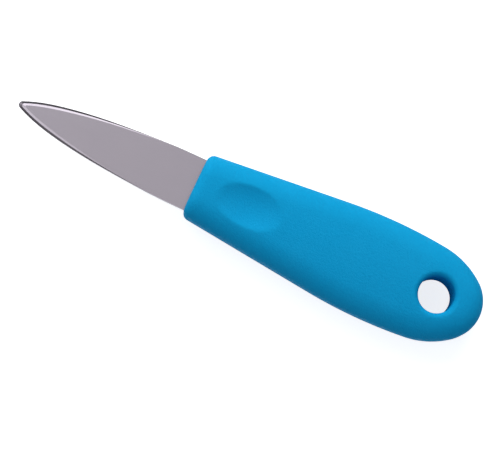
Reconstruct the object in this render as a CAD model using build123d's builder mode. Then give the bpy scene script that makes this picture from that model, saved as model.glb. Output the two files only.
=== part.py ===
from build123d import *
from math import asin, atan2, cos, degrees, radians, sin, tan
import os

os.makedirs("parts", exist_ok=True)

# Oyster knife with a fixed blade, lying flat: X runs from the tip to the butt, Y across, Z up.
# The origin is under the middle of the knife, on the surface that it lies on.
# All lengths are in millimetres and all angles in degrees.

# Length
blade_reach = 63.5  # blade that shows in front of the handle
handle_length = 101.5

# Handle, seen from above: straight sides that run into three arcs round the butt
front_width = 21.9  # where the blade comes out
palm_width = 33.6  # widest place
palm_share = 0.642  # where the handle is widest, of its length
palm_round = 168  # slow curve of each side at the widest place
butt_round = 12.8  # round end
butt_turn = 51  # angle that the round end covers on each side, before the tighter hip

# Handle, seen from the end
handle_thickness = 18.4
shoulder_radius = 5.9  # round edge along both sides and round the butt
nose_radius = 2.1  # edge round the front face

# Thumb dimple, one on each face
dimple_length = 21.6
dimple_width = 14.4
dimple_depth = 1.7
dimple_setback = 18.6  # from the handle's front to the dimple's middle
dimple_rim = 3.5  # soft edge round the dimple

# Hang hole
hang_diameter = 12.1
hang_inset = 16  # from the butt's end to the hole's middle
hang_rim = 1.7  # round edge of the hole's mouths
quarter_share = 0.5523  # share of a radius that lets a free curve follow a quarter circle

# Blade, one stamping with its tang
blade_width = 18  # at the handle
blade_thickness = 2
tip_radius = 1.25
tip_lean = 24  # angle of each side where it leaves the tip's arc
blade_length_shares = (0.907, 0.752, 0.56, 0.25)  # places from the handle, of the reach
blade_width_shares = (0.345, 0.603, 0.795, 0.962)  # half widths there, of half the blade width

# Ground edge, widest at the tip and gone at the handle
edge_land = 0.6  # thickness left along the edge, which is blunt for prying
steep_facet = 0.8  # width at the tip of the facet beside the edge
flat_facet = 0.75  # width at the tip of the facet beside the flat
flat_drop = 0.2  # how far the flat facet falls
grind_shares = (1, 0.9, 0.6, 0.12)  # ground width at the blade's places, of that at the tip
tip_back_share = 1.5  # how far grinding moves the tip back, of its width
tip_round_share = 0.6  # how much grinding takes off the tip's radius, of its width

# Tang, hidden in the handle
shoulder_depth = 5  # full blade width inside the handle, up to the step
tang_width = 12
tang_reach = 60  # from the handle's front to the tang's end
tang_corner = 4  # corners of the tang's end
step_radius = 1.5  # inner corners where the tang steps down
lock_diameter = 5  # holes that the core's plastic runs through
lock_count = 3
lock_pitch = 15
lock_setback = 18  # from the handle's front to the first hole

# Core under the soft grip
side_skin = 2.4  # thickness of the soft grip round the core's sides
face_skin = 3.3  # the same over the core's upper and lower face, where the dimples go in
window_width = 3.2  # windows through the core that the soft grip fills
window_length = 10
window_offset = 8.8  # from the middle line to the windows beside the tang
window_pitch = 17
window_setback = 38  # from the handle's front to the first pair
tail_setback = 68  # from the handle's front to the window behind the tang
overrun = 5  # by which cuts and tools pass the material

# Places worked out from the sizes
knife_length = blade_reach + handle_length
tip_x = -knife_length / 2
front_x = tip_x + blade_reach
butt_x = front_x + handle_length
dimple_x = front_x + dimple_setback
hang_x = butt_x - hang_inset
step_x = front_x + shoulder_depth
middle = handle_thickness / 2
middle_plane = Plane.XY.offset(middle)


def direction(angle):
    """Direction in a sketch, turned by an angle from its X"""
    return Vector(cos(radians(angle)), sin(radians(angle)))


# Centres of the outline's arcs, from the palm's slow curve to the round end
half_front = front_width / 2
palm_center = Vector(front_x + palm_share * handle_length, palm_width / 2 - palm_round)
butt_center = Vector(butt_x - butt_round, 0)

# The hip's arc is the one that touches the palm's curve from inside and goes on from the round end.
butt_aim = direction(butt_turn)
palm_to_butt = butt_center - palm_center
spare = palm_round - butt_round
hip_growth = (spare**2 - palm_to_butt.dot(palm_to_butt)) / (2 * (spare - palm_to_butt.dot(butt_aim)))
hip_round = butt_round + hip_growth
hip_center = butt_center - butt_aim * hip_growth
palm_to_hip = hip_center - palm_center
hip_turn = degrees(atan2(palm_to_hip.Y, palm_to_hip.X))

# Each side is the straight line from the front's corner that touches the palm's curve.
front_to_palm = palm_center - Vector(front_x, half_front)
touch_angle = asin(palm_round / front_to_palm.length)
flare = degrees(atan2(front_to_palm.Y, front_to_palm.X) + touch_angle)


def handle_slab(inset, start, thickness):
    """Flat slab inside the handle's outline, moved in by the inset, from a place along X"""
    touch = palm_center + direction(90 + flare) * (palm_round - inset)
    half_start = touch.Y - (touch.X - start) * tan(radians(flare))
    with BuildPart() as slab:
        with BuildSketch(Plane.XY.offset(middle - thickness / 2)):
            with BuildLine():
                Line((start, half_start), touch)
                CenterArc(palm_center, palm_round - inset, 90 + flare, hip_turn - 90 - flare)
                CenterArc(hip_center, hip_round - inset, hip_turn, butt_turn - hip_turn)
                CenterArc(butt_center, butt_round - inset, butt_turn, -butt_turn)
                mirror(about=Plane.XZ)
                Line((start, -half_start), (start, half_start))
            make_face()
        extrude(amount=thickness)
    return slab.part


def blade_outline(height, ground):
    """Outline of the blade that shows, at a height, drawn in by the width ground at the tip"""
    half_width = blade_width / 2
    radius = tip_radius - tip_round_share * ground
    tip = tip_x + tip_back_share * ground
    lean = direction(tip_lean)
    arc_end = Vector(tip + radius * (1 - lean.Y), radius * lean.X)
    places = [
        (front_x - length_share * blade_reach, width_share * half_width - grind_share * ground)
        for length_share, width_share, grind_share in zip(
            blade_length_shares, blade_width_shares, grind_shares
        )
    ]
    with BuildSketch(Plane.XY.offset(height)) as outline:
        with BuildLine():
            Spline(arc_end, *places, (front_x, half_width), tangents=[lean, (1, 0)])
            Line((front_x, half_width), (step_x, half_width))
            mirror(about=Plane.XZ)
            ThreePointArc((arc_end.X, -arc_end.Y), (tip, 0), arc_end)
            Line((step_x, -half_width), (step_x, half_width))
        make_face()
    return outline.sketch


# Blade: the ground faces are ruled between outlines that meet at the handle
half_blade = blade_thickness / 2
ground_levels = [
    (-half_blade, steep_facet + flat_facet),
    (flat_drop - half_blade, steep_facet),
    (-edge_land / 2, 0),
    (edge_land / 2, 0),
    (half_blade - flat_drop, steep_facet),
    (half_blade, steep_facet + flat_facet),
]
blade_sections = [blade_outline(middle + level, ground) for level, ground in ground_levels]

with BuildPart() as blade:
    loft(blade_sections, ruled=True)
    with BuildSketch(Plane.XY.offset(middle - half_blade)) as tang:
        with Locations(((front_x + step_x) / 2, 0)):
            Rectangle(shoulder_depth, tang_width)
        with Locations((front_x + tang_reach, 0)):
            Rectangle(tang_reach, tang_width, align=(Align.MAX, Align.CENTER))
        fillet(tang.vertices().group_by(Axis.X)[-1], radius=tang_corner)
    extrude(amount=blade_thickness)
    for side in (-1, 1):
        inner_corner = Vector(step_x, side * tang_width / 2, middle)
        fillet(blade.edges().filter_by(Axis.Z).sort_by_distance(inner_corner)[0], radius=step_radius)
    lock_places = [(front_x + lock_setback + turn * lock_pitch, 0, middle) for turn in range(lock_count)]
    with Locations(lock_places):
        Hole(lock_diameter / 2)
blade.part.label = "blade"

# Dimple: a ring that presses into the upper face, and its mirror image for the lower face
long_curve = ((dimple_length / 2) ** 2 + dimple_depth**2) / (2 * dimple_depth)
short_curve = ((dimple_width / 2) ** 2 + dimple_depth**2) / (2 * dimple_depth)
dimple_floor = Vector(dimple_x, 0, handle_thickness - dimple_depth)

with BuildPart() as dimple_ring:
    with BuildSketch(Plane(origin=dimple_floor, x_dir=(0, 1, 0), z_dir=(1, 0, 0))):
        with BuildLine():
            section = CenterArc((0, short_curve), short_curve, 180, 180)
            Line(section @ 1, section @ 0)
        make_face()
    revolve(axis=Axis(dimple_floor + Vector(0, 0, long_curve), (0, 1, 0)))

upper_press = dimple_ring.part
lower_press = mirror(upper_press, about=middle_plane)
lower_floor = Vector(dimple_x, 0, dimple_depth)

# Hang hole: a pin that flares at both ends, turned round the hole's axis
hang_radius = hang_diameter / 2
mouth_radius = hang_radius + hang_rim
half_wall = middle - hang_rim
flare_pull = quarter_share * hang_rim

with BuildPart() as hang_pin:
    with BuildSketch(Plane(origin=(hang_x, 0, middle), x_dir=(1, 0, 0), z_dir=(0, -1, 0))):
        with BuildLine():
            mouth_curve = Bezier(
                (hang_radius, half_wall),
                (hang_radius, half_wall + flare_pull),
                (mouth_radius - flare_pull, middle),
                (mouth_radius, middle),
            )
            Line(mouth_curve @ 1, (0, middle))
            mirror(about=Plane.XZ)
            Line((0, -middle), (0, middle))
            Line((hang_radius, -half_wall), (hang_radius, half_wall))
        make_face()
    revolve(axis=Axis((hang_x, 0, 0), (0, 0, 1)))

# Core: rigid plastic moulded round the tang, through its holes, with an eye round the hang hole
core_slab = handle_slab(side_skin, step_x, handle_thickness - 2 * face_skin)
window_places = [
    (front_x + window_setback + turn * window_pitch, side * window_offset)
    for turn in (0, 1)
    for side in (-1, 1)
]

with BuildPart() as handle_core:
    add(core_slab)
    with BuildSketch(Plane.XY.offset(-overrun)):
        with Locations(window_places):
            Rectangle(window_length, window_width)
        with Locations((front_x + tail_setback, 0)):
            Rectangle(window_width, window_length)
        with Locations((hang_x, 0)):
            Circle(hang_radius + side_skin)
    extrude(amount=handle_thickness + 2 * overrun, mode=Mode.SUBTRACT)
    add(blade.part, mode=Mode.SUBTRACT)
handle_core.part.label = "handle_core"

# Soft grip: skin over the core, which also fills the core's windows and closes round the blade
grip_slab = handle_slab(0, front_x, handle_thickness)

with BuildPart() as soft_grip:
    add(grip_slab)
    front_edges = soft_grip.edges().group_by(Axis.X)[0]
    fillet(soft_grip.edges().filter_by(Plane.XY) - front_edges, radius=shoulder_radius)
    fillet(soft_grip.edges().group_by(Axis.X)[0], radius=nose_radius)
    for press, floor in ((upper_press, dimple_floor), (lower_press, lower_floor)):
        add(press, mode=Mode.SUBTRACT)
        fillet(soft_grip.faces().sort_by_distance(floor)[0].edges(), radius=dimple_rim)
    add(hang_pin.part, mode=Mode.SUBTRACT)
    add(blade.part, mode=Mode.SUBTRACT)
    add(handle_core.part, mode=Mode.SUBTRACT)
soft_grip.part.label = "soft_grip"

for piece in (blade, handle_core, soft_grip):
    export_step(piece.part, f"parts/{piece.part.label}.step")
    print(piece.part.label, "volume", round(piece.part.volume), "valid", piece.part.is_valid)

hang_wall = soft_grip.faces().filter_by(GeomType.CYLINDER).sort_by_distance(Vector(hang_x, 0, middle))[0]
print("hang hole wall", round(hang_wall.bounding_box().size.Z, 2))
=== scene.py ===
# %% [markdown]
# # An oyster knife
#
# A short steel blade, ground along both sides and round its tip, stands in a moulded handle.
# The handle is a soft blue grip over a hard core, with a thumb dimple and a hole to hang it by.
# The measured solids of the three pieces are loaded first, in metres, and nothing moves them.

# %% Load the measured pieces
import math

import bmesh
import bpy
from mathutils import Matrix, Vector


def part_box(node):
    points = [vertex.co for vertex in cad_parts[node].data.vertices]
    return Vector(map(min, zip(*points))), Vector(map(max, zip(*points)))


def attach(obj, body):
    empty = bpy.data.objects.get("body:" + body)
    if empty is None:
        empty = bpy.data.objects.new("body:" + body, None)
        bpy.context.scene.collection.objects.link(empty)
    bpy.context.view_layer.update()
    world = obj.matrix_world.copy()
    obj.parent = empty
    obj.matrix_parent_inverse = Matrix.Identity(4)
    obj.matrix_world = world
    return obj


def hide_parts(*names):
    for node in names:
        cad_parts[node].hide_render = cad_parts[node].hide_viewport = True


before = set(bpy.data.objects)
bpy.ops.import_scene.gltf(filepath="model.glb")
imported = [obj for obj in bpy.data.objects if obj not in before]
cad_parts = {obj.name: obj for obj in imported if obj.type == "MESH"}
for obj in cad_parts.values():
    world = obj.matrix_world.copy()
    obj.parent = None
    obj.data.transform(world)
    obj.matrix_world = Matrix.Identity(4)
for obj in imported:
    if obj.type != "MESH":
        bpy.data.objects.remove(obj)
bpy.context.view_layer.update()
blade_low, blade_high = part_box("blade")
grip_low, grip_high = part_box("soft_grip")

# %% [markdown]
# ## The camera
#
# The knife lies flat and is seen from above, a little from the side that is lower in the picture.
# A long lens keeps the handle from looking swollen. The camera stands 0.7 m over the knife and is
# rolled until the knife's long axis runs down to the right.

# %% Stand the camera
MM = 0.001
mid_height = (grip_low.z + grip_high.z) / 2
EYE_ALONG, EYE_ACROSS, EYE_OVER = 12, -95, 700
AIM_ALONG, AIM_ACROSS = 2.84, -4.95
PICTURE_ROLL = 25.06
LENS, SENSOR = 156.2, 36
NEAREST, FARTHEST = 0.01, 50

eye = Vector((EYE_ALONG * MM, EYE_ACROSS * MM, mid_height + EYE_OVER * MM))
aim = Vector((AIM_ALONG * MM, AIM_ACROSS * MM, mid_height))
roll = math.radians(PICTURE_ROLL)

sight = (aim - eye).normalized()
level_right = sight.cross(Vector((0, 1, 0))).normalized()
level_up = level_right.cross(sight)
picture_right = level_right * math.cos(roll) + level_up * math.sin(roll)
picture_up = level_up * math.cos(roll) - level_right * math.sin(roll)

lens = bpy.data.cameras.new("studio_lens")
lens.lens = LENS
lens.sensor_width = SENSOR
lens.clip_start = NEAREST
lens.clip_end = FARTHEST
camera = bpy.data.objects.new("studio_camera", lens)
camera.matrix_world = Matrix.Translation(eye) @ Matrix(
    (picture_right, picture_up, -sight)
).transposed().to_4x4()
bpy.context.scene.collection.objects.link(camera)
bpy.context.scene.camera = camera
bpy.context.scene.view_settings.view_transform = "Standard"
print("camera", [round(c, 4) for c in eye])

# %% [markdown]
# ## A helper for materials
#
# Each finish is a small tree of nodes. This helper adds a node, sets its plain values and takes its
# links, so that each branch of a tree reads from top to bottom. Most values of a noise lie between
# the low and the high one given here.

# %% Helper to add and link a node
NOISE_LOW, NOISE_HIGH = 0.3, 0.7


def add_node(material, kind, values=None, links=None, **settings):
    node = material.node_tree.nodes.new(kind)
    for name, value in settings.items():
        setattr(node, name, value)
    for socket, value in (values or {}).items():
        node.inputs[socket].default_value = value
    for socket, source in (links or {}).items():
        material.node_tree.links.new(source, node.inputs[socket])
    return node


def new_material(name):
    material = bpy.data.materials.new(name)
    material.use_nodes = True
    return material, material.node_tree.nodes["Principled BSDF"]


def dress(piece, material):
    piece.data.materials.clear()
    piece.data.materials.append(material)
    print("dressed", piece.name, "with", material.name)


# %% [markdown]
# ## The grip's skin
#
# The measured solid has flat faces. The real grip swells a little in every direction and its edges
# roll over softly, so its skin is drawn again, finer, inside the same outline. The outline is worked
# out as a draughtsman would: a straight side, then three arcs that touch each other, the slow curve
# over the palm, the hip and the round butt.

# %% Outline of the grip, in millimetres
FRONT, BUTT = grip_low.x / MM, grip_high.x / MM
MIDDLE = mid_height / MM
PALM_ROUND, BUTT_ROUND, BUTT_TURN = 168, 12.8, 51
HALF_FRONT, HALF_PALM, PALM_SHARE = 10.95, grip_high.y / MM, 0.642


def turned(angle):
    return Vector((math.cos(math.radians(angle)), math.sin(math.radians(angle))))


def heading(arrow):
    return math.degrees(math.atan2(arrow.y, arrow.x))


palm_center = Vector((FRONT + PALM_SHARE * (BUTT - FRONT), HALF_PALM - PALM_ROUND))
butt_center = Vector((BUTT - BUTT_ROUND, 0))
apart = butt_center - palm_center
spare = PALM_ROUND - BUTT_ROUND
growth = (spare**2 - apart.length_squared) / (2 * (spare - apart.dot(turned(BUTT_TURN))))
hip_round = BUTT_ROUND + growth
hip_center = butt_center - turned(BUTT_TURN) * growth
hip_turn = heading(hip_center - palm_center)
to_palm = palm_center - Vector((FRONT, HALF_FRONT))
side_turn = 90 + heading(to_palm) + math.degrees(math.asin(PALM_ROUND / to_palm.length))
touch = palm_center + turned(side_turn) * PALM_ROUND
print("hip radius", round(hip_round, 2), "sides open at", round(side_turn - 90, 2), "degrees")

# %% [markdown]
# The skin's height depends on how far a place lies in from the outline. Each place belongs to the
# straight side or to one of the arcs, whichever it faces.

# %% Height of the skin over the knife's middle plane
NOSE, SHOULDER, WALL = 2.1, 8.2, 2.6
NOSE_LENGTH, NOSE_DEPTH = 3.6, 2.6
CROWN_CURVE, BELLY_CURVE, BELLY_X = 70, 1700, 20
ROLL = 2.32
DIMPLE_X, DIMPLE_DEPTH, DIMPLE_SOFT = FRONT + 18.6, 1.75, 0.28
DIMPLE_LONG, DIMPLE_SHORT = 36, 17.2


def edge_gap(x, y):
    place = Vector((x, abs(y)))
    turn = heading(place - palm_center)
    if turn > side_turn:
        return (touch - place).dot(turned(side_turn))
    if turn > hip_turn:
        return PALM_ROUND - (place - palm_center).length
    if heading(place - hip_center) > BUTT_TURN:
        return hip_round - (place - hip_center).length
    return BUTT_ROUND - (place - butt_center).length


def nose_drop(x):
    back = max(NOSE - (x - FRONT), 0)
    return NOSE - math.sqrt(max(NOSE**2 - back**2, 0))


def nose_dip(x):
    back = max(1 - (x - FRONT) / NOSE_LENGTH, 0)
    return NOSE_DEPTH * (1 - math.sqrt(max(1 - back**2, 0)))


def soft_least(one, other, softness):
    near = max(softness - abs(one - other), 0)
    return min(one, other) - near**2 / (4 * softness)


def skin_height(x, y):
    nose = nose_drop(x)
    inward = min(max(edge_gap(x, y) - nose, 0) / (SHOULDER - nose), 1)
    roll_over = (1 - (1 - inward) ** ROLL) ** (1 / ROLL)
    swell = 1 - (y**2 / CROWN_CURVE + (x - BELLY_X) ** 2 / BELLY_CURVE) / (2 * MIDDLE)
    height = (WALL + (MIDDLE - WALL - nose_dip(x)) * roll_over) * swell
    x_curve = (x - DIMPLE_X) ** 2 / (2 * DIMPLE_LONG)
    bowl = skin_top(DIMPLE_X) - DIMPLE_DEPTH + x_curve + y**2 / (2 * DIMPLE_SHORT)
    return soft_least(height, bowl, DIMPLE_SOFT)


def skin_top(x):
    return MIDDLE - (x - BELLY_X) ** 2 / (2 * BELLY_CURVE)


print("height at the widest place", round(skin_height(palm_center.x, 0), 2))
print("height in the dimple", round(skin_height(DIMPLE_X, 0), 2))

# %% [markdown]
# The skin is a net of rows across the handle. Rows crowd together at the nose and at the butt, and
# the places in a row crowd towards the sides, because the surface bends most there.

# %% Rows across the handle
STEP, ACROSS = 0.6, 96
NOSE_ROWS, SPARE_ROWS = 10, 4
LAST_TURN = 1.2


def steps_between(start, end, count):
    return [start + (end - start) * turn / count for turn in range(count)]


def straight_side(x):
    return touch.y + (touch.x - x) / math.tan(math.radians(side_turn))


rows = []
for turn in steps_between(0, 90, NOSE_ROWS):
    x = FRONT + NOSE * (1 - turned(turn).x)
    rows.append((x, straight_side(x) - nose_drop(x)))
for x in steps_between(FRONT + NOSE, touch.x, round((touch.x - FRONT - NOSE) / STEP)):
    rows.append((x, straight_side(x)))
arcs = [
    (palm_center, PALM_ROUND, side_turn, hip_turn),
    (hip_center, hip_round, hip_turn, BUTT_TURN),
    (butt_center, BUTT_ROUND, BUTT_TURN, LAST_TURN),
]
for center, radius, start, end in arcs:
    for turn in steps_between(start, end, round(radius * math.radians(start - end) / STEP) + SPARE_ROWS):
        rows.append(tuple(center + turned(turn) * radius))
rows.append(tuple(butt_center + turned(LAST_TURN) * BUTT_ROUND))
print("rows", len(rows), "widest", round(2 * max(half for _, half in rows), 2))

# %% [markdown]
# Round the hanging hole the net opens. Its loose edge is drawn in to a ring, rolls over a round
# mouth and runs down the wall of the hole to the other face.

# %% Weave the skin and the hole
HOLE_X, HOLE_RADIUS, MOUTH = BUTT - 16, 6.05, 1.7
CLEARING = 9.6
PATCH_RINGS, MOUTH_RINGS = 4, 8
net = bmesh.new()


def knot(x, y, height, face):
    return net.verts.new((x * MM, y * MM, (MIDDLE + face * height) * MM))


def weave(first, second):
    for turn in range(len(first) - 1):
        net.faces.new((first[turn], first[turn + 1], second[turn + 1], second[turn]))


spread = [math.sin(math.pi * (turn / ACROSS - 0.5)) for turn in range(ACROSS + 1)]
first_row = next(turn for turn, (x, _) in enumerate(rows) if x > HOLE_X - CLEARING)
last_row = next(turn for turn, (x, _) in enumerate(rows) if x > HOLE_X + CLEARING)
half_at_hole = next(half for x, half in rows if x > HOLE_X)
first_place = next(turn for turn, share in enumerate(spread) if share * half_at_hole > -CLEARING)
last_place = ACROSS - first_place

hole_rings = []
faces_of_net = {}
for face in (1, -1):
    lines = [
        [knot(x, half * share, skin_height(x, half * share), face) for share in spread]
        for x, half in rows
    ]
    faces_of_net[face] = lines
    for turn in range(len(rows) - 1):
        if first_row <= turn < last_row:
            weave(lines[turn][: first_place + 1], lines[turn + 1][: first_place + 1])
            weave(lines[turn][last_place:], lines[turn + 1][last_place:])
        else:
            weave(lines[turn], lines[turn + 1])
    loop = lines[first_row][first_place:last_place]
    loop += [lines[turn][last_place] for turn in range(first_row, last_row)]
    loop += lines[last_row][last_place:first_place:-1]
    loop += [lines[turn][first_place] for turn in range(last_row, first_row, -1)]
    centre = Vector((HOLE_X, 0))
    starts = [Vector((corner.co.x / MM, corner.co.y / MM)) for corner in loop]
    rays = [(start - centre).normalized() for start in starts]
    ring = loop + loop[:1]
    for turn in range(1, PATCH_RINGS + 1):
        places = [
            start.lerp(centre + ray * (HOLE_RADIUS + MOUTH), turn / PATCH_RINGS)
            for start, ray in zip(starts, rays)
        ]
        knots = [knot(place.x, place.y, skin_height(place.x, place.y), face) for place in places]
        weave(ring, knots + knots[:1])
        ring = knots + knots[:1]
    mouth_heights = [skin_height(place.x, place.y) for place in places]
    for turn in range(1, MOUTH_RINGS + 1):
        tilt = turned(90 * turn / MOUTH_RINGS)
        radius = HOLE_RADIUS + MOUTH * (1 - tilt.y)
        knots = [
            knot(HOLE_X + ray.x * radius, ray.y * radius, height - MOUTH * (1 - tilt.x), face)
            for ray, height in zip(rays, mouth_heights)
        ]
        weave(ring, knots + knots[:1])
        ring = knots + knots[:1]
    hole_rings.append(ring)

weave(hole_rings[0], hole_rings[1])
weave(faces_of_net[1][0], faces_of_net[-1][0])
weave(faces_of_net[1][-1], faces_of_net[-1][-1])
for side in (0, ACROSS):
    weave([line[side] for line in faces_of_net[1]], [line[side] for line in faces_of_net[-1]])
bmesh.ops.recalc_face_normals(net, faces=net.faces)
skin_mesh = bpy.data.meshes.new("grip_skin")
net.to_mesh(skin_mesh)
print("loose edges", sum(1 for edge in net.edges if len(edge.link_faces) != 2), "faces", len(net.faces))
net.free()
skin_mesh.shade_smooth()
grip_skin = bpy.data.objects.new("grip_skin", skin_mesh)
bpy.context.scene.collection.objects.link(grip_skin)
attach(grip_skin, "root")
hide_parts("soft_grip")

# %% [markdown]
# ## The blade's ground faces
#
# A grinder holds one angle all along the edge, so where a facet grows narrow it also grows shallow.
# The blade's measured mesh is copied and the corners of its facets are set to that rule: near the
# tip they lie deep, and towards the handle they rise to the flat.

# %% Set the facets of the blade
HALF_BLADE, HALF_LAND, FLAT_DROP = (blade_high.z - blade_low.z) / MM / 2, 0.3, 0.2
REACH = FRONT - blade_low.x / MM
PLACE_SHARES = (0.907, 0.752, 0.56, 0.25, 0)
GROUND_SHARES = (1, 0.9, 0.6, 0.12, 0)
SAME_PLACE, SAME_LEVEL = 0.001, 0.02
SHARP_FROM = 9

ground_at = [(FRONT - place * REACH, ground) for place, ground in zip(PLACE_SHARES, GROUND_SHARES)]


def ground_share(x):
    for (start, first), (end, last) in zip(ground_at, ground_at[1:]):
        if x < end:
            return first + (last - first) * max(x - start, 0) / (end - start)
    return 0


metal = bmesh.new()
metal.from_mesh(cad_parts["blade"].data)
bmesh.ops.remove_doubles(metal, verts=metal.verts, dist=SAME_PLACE * MM)
moved = 0
for corner in metal.verts:
    level = corner.co.z / MM - MIDDLE
    for measured in (HALF_LAND, HALF_BLADE - FLAT_DROP):
        if abs(abs(level) - measured) < SAME_LEVEL:
            depth = (HALF_BLADE - measured) * ground_share(corner.co.x / MM)
            corner.co.z = (MIDDLE + math.copysign(HALF_BLADE - depth, level)) * MM
            moved += 1
blade_mesh = bpy.data.meshes.new("blade_skin")
metal.to_mesh(blade_mesh)
metal.free()
if "custom_normal" in blade_mesh.attributes:
    blade_mesh.attributes.remove(blade_mesh.attributes["custom_normal"])
blade_mesh.shade_smooth()
blade_mesh.set_sharp_from_angle(angle=math.radians(SHARP_FROM))
blade_skin = bpy.data.objects.new("blade_skin", blade_mesh)
bpy.context.scene.collection.objects.link(blade_skin)
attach(blade_skin, "root")
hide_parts("blade")
print("corners of facets", moved, "faces", len(blade_mesh.polygons))

# %% [markdown]
# ## The soft grip
#
# The grip is a rubbery plastic moulded over the core. Its surface copies a finely sparked mould, so
# it is matt and breaks up into a speckle where the light grazes it. The colour shifts a little over
# the handle, and roughness and height follow one fine noise. The little sheen that it has fades out
# inside the hanging hole, whose wall is dull.

# %% Soft blue rubber
GRIP_BLUE = (0.008, 0.376, 0.69, 1)
GRIP_DEEP = (0.004, 0.353, 0.662, 1)

rubber, shader = new_material("soft_touch_blue")
place = add_node(rubber, "ShaderNodeTexCoord").outputs["Object"]
cloud = add_node(
    rubber, "ShaderNodeTexNoise", {"Scale": 90, "Detail": 3, "Roughness": 0.5}, {"Vector": place}
)
speckle = add_node(
    rubber, "ShaderNodeTexNoise", {"Scale": 1500, "Detail": 4, "Roughness": 0.75}, {"Vector": place}
)
tint = add_node(
    rubber,
    "ShaderNodeMix",
    {"A": GRIP_DEEP, "B": GRIP_BLUE},
    {"Factor": cloud.outputs["Fac"]},
    data_type="RGBA",
)
sheen_spread = add_node(
    rubber,
    "ShaderNodeMapRange",
    {"From Min": NOISE_LOW, "From Max": NOISE_HIGH, "To Min": 0.5, "To Max": 0.68},
    {"Value": speckle.outputs["Fac"]},
)
texture = add_node(
    rubber,
    "ShaderNodeBump",
    {"Strength": 1, "Distance": 0.00022},
    {"Height": speckle.outputs["Fac"]},
)
links = rubber.node_tree.links
links.new(tint.outputs["Result"], shader.inputs["Base Color"])
links.new(sheen_spread.outputs["Result"], shader.inputs["Roughness"])
links.new(texture.outputs["Normal"], shader.inputs["Normal"])
flat_place = add_node(rubber, "ShaderNodeMapping", {"Scale": (1, 1, 0)}, {"Vector": place}).outputs[0]
from_hole = add_node(
    rubber,
    "ShaderNodeVectorMath",
    {1: (HOLE_X * MM, 0, 0)},
    {0: flat_place},
    operation="DISTANCE",
)
DULL_MARGIN, SHEEN = 0.1, 0.03
wall_end, mouth_end = (HOLE_RADIUS + DULL_MARGIN) * MM, (HOLE_RADIUS + MOUTH) * MM
sheen = add_node(
    rubber,
    "ShaderNodeMapRange",
    {"From Min": wall_end, "From Max": mouth_end, "To Min": 0, "To Max": SHEEN},
    {"Value": from_hole.outputs["Value"]},
)
links.new(sheen.outputs["Result"], shader.inputs["Specular IOR Level"])
dress(grip_skin, rubber)

# %% [markdown]
# ## The core
#
# The hard core is hidden under the grip. It gets a plain dark blue-grey with a fine grain.

# %% Core plastic
CORE_GREY = (0.03, 0.05, 0.08, 1)

core_plastic, shader = new_material("core_plastic")
place = add_node(core_plastic, "ShaderNodeTexCoord").outputs["Object"]
grain = add_node(core_plastic, "ShaderNodeTexNoise", {"Scale": 1200, "Detail": 3}, {"Vector": place})
core_rough = add_node(
    core_plastic,
    "ShaderNodeMapRange",
    {"To Min": 0.45, "To Max": 0.6},
    {"Value": grain.outputs["Fac"]},
)
core_plastic.node_tree.links.new(core_rough.outputs["Result"], shader.inputs["Roughness"])
shader.inputs["Base Color"].default_value = CORE_GREY
dress(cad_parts["handle_core"], core_plastic)

# %% [markdown]
# ## The blade
#
# The blade is stainless steel with a satin finish. Fine lines run along it, which is how it was
# rubbed. They are stretched noise, and they change both the roughness and the height.

# %% Satin steel
STEEL = (0.322, 0.295, 0.338, 1)
STEEL_WARM = (0.336, 0.308, 0.348, 1)

steel, shader = new_material("satin_steel")
place = add_node(steel, "ShaderNodeTexCoord").outputs["Object"]
along = add_node(steel, "ShaderNodeMapping", {"Scale": (60, 5200, 5200)}, {"Vector": place})
lines = add_node(steel, "ShaderNodeTexNoise", {"Scale": 1, "Detail": 3}, {"Vector": along.outputs[0]})
cloud = add_node(steel, "ShaderNodeTexNoise", {"Scale": 60, "Detail": 2}, {"Vector": place})
tint = add_node(
    steel,
    "ShaderNodeMix",
    {"A": STEEL, "B": STEEL_WARM},
    {"Factor": cloud.outputs["Fac"]},
    data_type="RGBA",
)
satin = add_node(
    steel,
    "ShaderNodeMapRange",
    {"From Min": NOISE_LOW, "From Max": NOISE_HIGH, "To Min": 0.21, "To Max": 0.27},
    {"Value": lines.outputs["Fac"]},
)
scratch = add_node(
    steel,
    "ShaderNodeBump",
    {"Strength": 0.045, "Distance": 0.00001},
    {"Height": lines.outputs["Fac"]},
)
links = steel.node_tree.links
links.new(tint.outputs["Result"], shader.inputs["Base Color"])
links.new(satin.outputs["Result"], shader.inputs["Roughness"])
links.new(scratch.outputs["Normal"], shader.inputs["Normal"])
shader.inputs["Metallic"].default_value = 1
dress(blade_skin, steel)

# %% [markdown]
# ## Floor and light
#
# The floor is a wide pale sheet at the height of the knife's underside. It glows for the camera,
# for mirrors and for what is seen through glass, so that it reads white there. The glow adds no
# light to matt surfaces. The knife leaves a faint shadow on the sheet.

# %% White floor
FLOOR_SIZE = 6
FLOOR_GLOW = 0.8
PAPER = (0.65, 0.65, 0.65, 1)

floor_mesh = bpy.data.meshes.new("floor")
corners = [
    (side * FLOOR_SIZE, end * FLOOR_SIZE, grip_low.z)
    for side, end in ((-1, -1), (1, -1), (1, 1), (-1, 1))
]
floor_mesh.from_pydata(corners, [], [(0, 1, 2, 3)])
floor = bpy.data.objects.new("floor", floor_mesh)
bpy.context.scene.collection.objects.link(floor)
paper, shader = new_material("white_paper")
shader.inputs["Base Color"].default_value = PAPER
shader.inputs["Roughness"].default_value = 1
shader.inputs["Specular IOR Level"].default_value = 0
path = add_node(paper, "ShaderNodeLightPath")
seen = add_node(
    paper,
    "ShaderNodeMath",
    {},
    {0: path.outputs["Is Camera Ray"], 1: path.outputs["Is Glossy Ray"]},
    operation="MAXIMUM",
)
seen = add_node(
    paper,
    "ShaderNodeMath",
    {},
    {0: seen.outputs[0], 1: path.outputs["Is Transmission Ray"]},
    operation="MAXIMUM",
)
glow = add_node(paper, "ShaderNodeMath", {1: FLOOR_GLOW}, {0: seen.outputs[0]}, operation="MULTIPLY")
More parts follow.
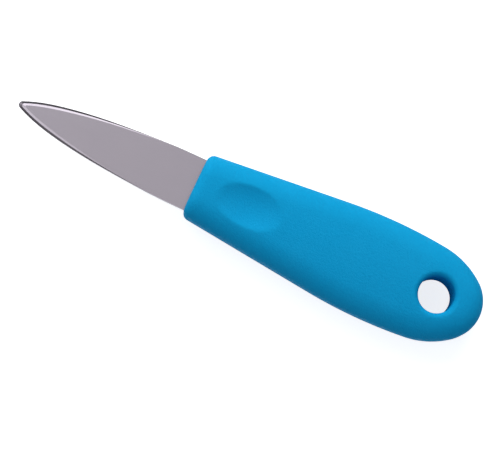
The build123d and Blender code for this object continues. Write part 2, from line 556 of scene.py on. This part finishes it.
shader.inputs["Emission Color"].default_value = (1, 1, 1, 1)
paper.node_tree.links.new(glow.outputs[0], shader.inputs["Emission Strength"])
floor_mesh.materials.append(paper)

# %% [markdown]
# The sky is white to the camera and through glass, and a mild, cool fill to matt surfaces. In the
# steel it is bright overhead and dim near the horizon, so that the steep facets read dark.

# %% Sky
FILL = 0.31
COOL_FILL = (0.86, 0.96, 1.15, 1)
HORIZON, LOW_Z, HIGH_Z = 0.16, 0.45, 0.85
world = bpy.data.worlds.new("studio")
world.use_nodes = True
bpy.context.scene.world = world
sky = world.node_tree.nodes["Background"]
outward = add_node(world, "ShaderNodeTexCoord").outputs["Generated"]
height = add_node(world, "ShaderNodeSeparateXYZ", {}, {"Vector": outward}).outputs["Z"]
ceiling = add_node(
    world,
    "ShaderNodeMapRange",
    {"From Min": LOW_Z, "From Max": HIGH_Z, "To Min": HORIZON, "To Max": 1},
    {"Value": height},
    interpolation_type="SMOOTHSTEP",
)
path = add_node(world, "ShaderNodeLightPath")
tone = add_node(
    world,
    "ShaderNodeMix",
    {"A": (1, 1, 1, 1), "B": COOL_FILL},
    {"Factor": path.outputs["Is Diffuse Ray"]},
    data_type="RGBA",
)
world.node_tree.links.new(tone.outputs["Result"], sky.inputs["Color"])
mirrored = add_node(
    world,
    "ShaderNodeMix",
    {"A": FILL},
    {"Factor": path.outputs["Is Glossy Ray"], "B": ceiling.outputs["Result"]},
)
backdrop = add_node(
    world,
    "ShaderNodeMath",
    {},
    {0: path.outputs["Is Camera Ray"], 1: path.outputs["Is Transmission Ray"]},
    operation="MAXIMUM",
)
level = add_node(
    world,
    "ShaderNodeMix",
    {"B": 1},
    {"Factor": backdrop.outputs[0], "A": mirrored.outputs["Result"]},
)
world.node_tree.links.new(level.outputs["Result"], sky.inputs["Strength"])

# %% [markdown]
# Each lamp is a soft panel. Its place is given as a turn round the picture, from its top, and a
# lean from straight overhead, which is how a photographer would move it. The top and left panels
# light the whole knife and are mirrored in the steel. The side panel lights matt surfaces only, so
# it shapes the grip and isn't mirrored in the steel.

# %% Lamps
def studio_direction(turn, lean):
    up_flat = Vector((picture_up.x, picture_up.y, 0)).normalized()
    right_flat = Vector((up_flat.y, -up_flat.x, 0))
    flat = up_flat * math.cos(math.radians(turn)) + right_flat * math.sin(math.radians(turn))
    return flat * math.sin(math.radians(lean)) + Vector((0, 0, math.cos(math.radians(lean))))


def aim_at_knife(thing, turn, lean, distance):
    direction = studio_direction(turn, lean)
    thing.location = aim + direction * distance
    thing.rotation_euler = direction.to_track_quat("Z", "Y").to_euler()


def soft_panel(name, turn, lean, distance, width, height, brightness):
    lamp = bpy.data.lights.new(name, "AREA")
    lamp.shape = "RECTANGLE"
    lamp.size = width
    lamp.size_y = height
    lamp.energy = brightness * math.pi * width * height
    panel = bpy.data.objects.new(name, lamp)
    aim_at_knife(panel, turn, lean, distance)
    bpy.context.scene.collection.objects.link(panel)
    print(name, "power", round(lamp.energy, 2))
    return panel


DISTANCE = 0.9
soft_panel("top_panel", turn=-10, lean=38, distance=DISTANCE, width=1.2, height=0.45, brightness=2.1)
soft_panel("left_panel", turn=262, lean=28, distance=DISTANCE, width=0.35, height=0.35, brightness=1)
side_panel = soft_panel(
    "side_panel", turn=-5, lean=64, distance=DISTANCE, width=1, height=0.5, brightness=2.9
)
side_panel.visible_glossy = False
